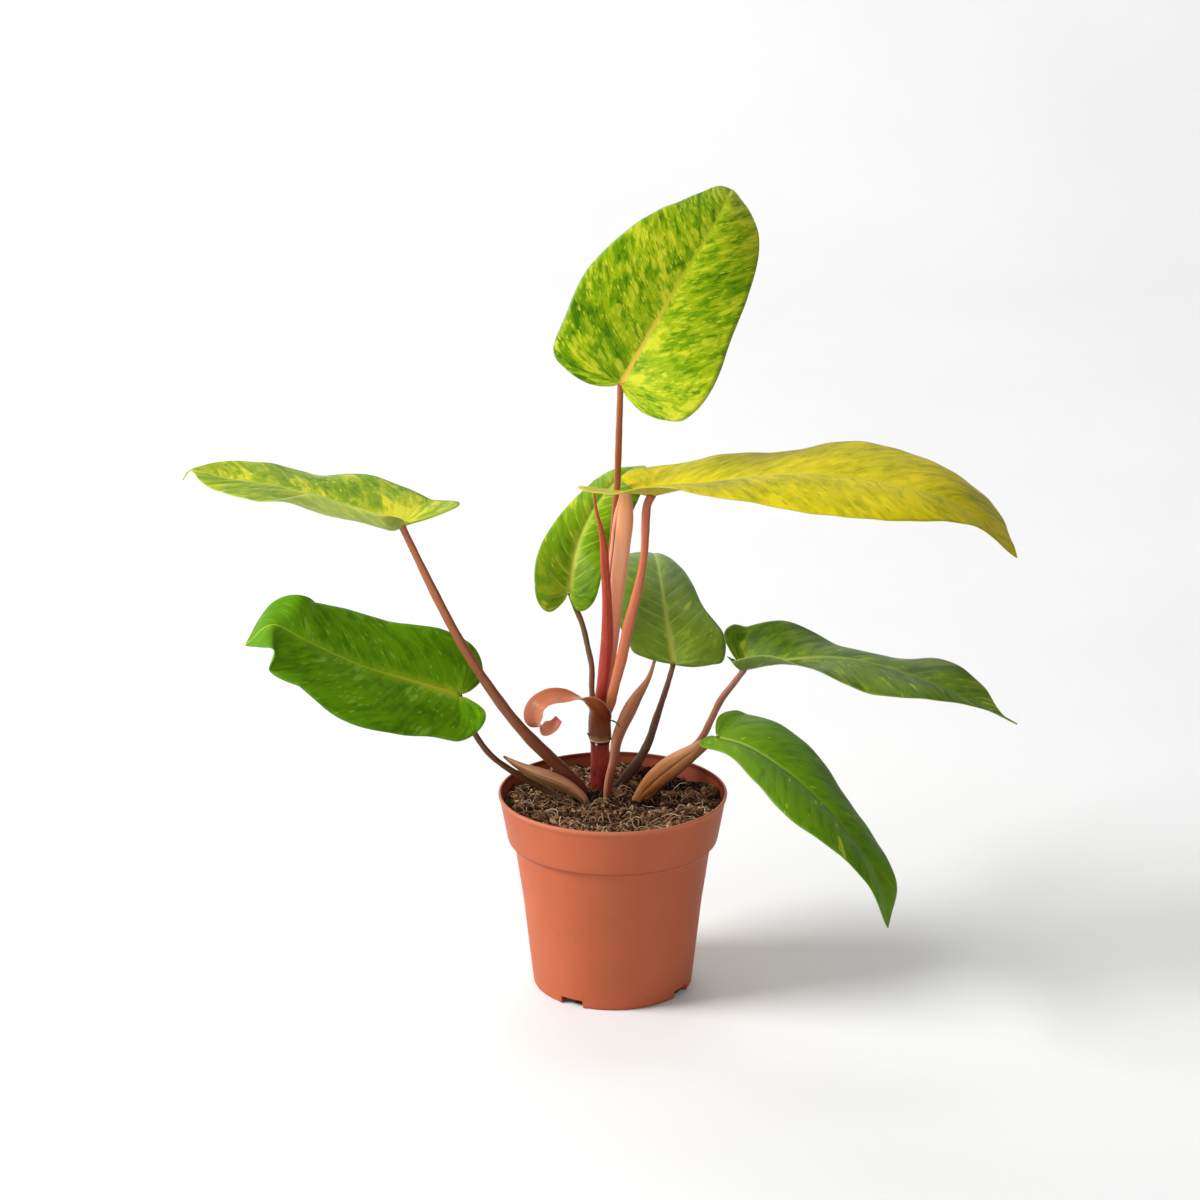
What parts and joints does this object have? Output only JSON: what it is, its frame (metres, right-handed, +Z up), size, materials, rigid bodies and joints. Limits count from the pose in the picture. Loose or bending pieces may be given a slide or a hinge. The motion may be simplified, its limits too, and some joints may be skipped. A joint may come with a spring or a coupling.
{
  "type": "potted plant",
  "caption": "Painted lady philodendron with mottled yellow and green arrow-shaped leaves on slim reddish stalks, in a round plastic nursery pot filled with soil.",
  "frame": {"origin": "middle of the pot's underside, where it stands", "axes": "+Z up out of the soil; -Y is the front, the side that the picture shows; +X towards the long yellow leaf"},
  "size_m": [0.4305, 0.2468, 0.4134],
  "materials": {
    "pot": "matte terracotta-orange moulded plastic",
    "soil": "loose tan and brown peat and coir fibre",
    "stem": "dark red stem with a tan node ring",
    "dry_sheath": "salmon to golden-brown papery sheath",
    "young_sheath": "smooth salmon sheath with a soft gloss",
    "spear": "smooth brick-red rolled leaf",
    "stalks": "smooth reddish-brown to olive stalk",
    "yellow_blades": "waxy lime and yellow leaf with green streaks",
    "green_blades": "waxy green leaf with yellow flecks and a yellow midrib"
  },
  "bodies": {
    "root": {"pot": "pot", "soil": "soil", "stem": "stem", "peeled_sheath": "dry_sheath", "left_sheath": "dry_sheath", "right_sheath": "dry_sheath", "front_sheath": "dry_sheath", "broad_sheath": "young_sheath", "new_leaf_spear": "spear", "stalk_top": "stalks", "stalk_right_yellow": "stalks", "stalk_upper_left": "stalks", "stalk_lower_left": "stalks", "stalk_back_left": "stalks", "stalk_back_right": "stalks", "stalk_upper_right": "stalks", "stalk_lower_right": "stalks", "blade_top": "yellow_blades", "blade_right_yellow": "yellow_blades", "blade_upper_left": "yellow_blades", "blade_lower_left": "green_blades", "blade_back_left": "green_blades", "blade_back_right": "green_blades", "blade_upper_right": "green_blades", "blade_lower_right": "green_blades"}
  },
  "joints": []
}
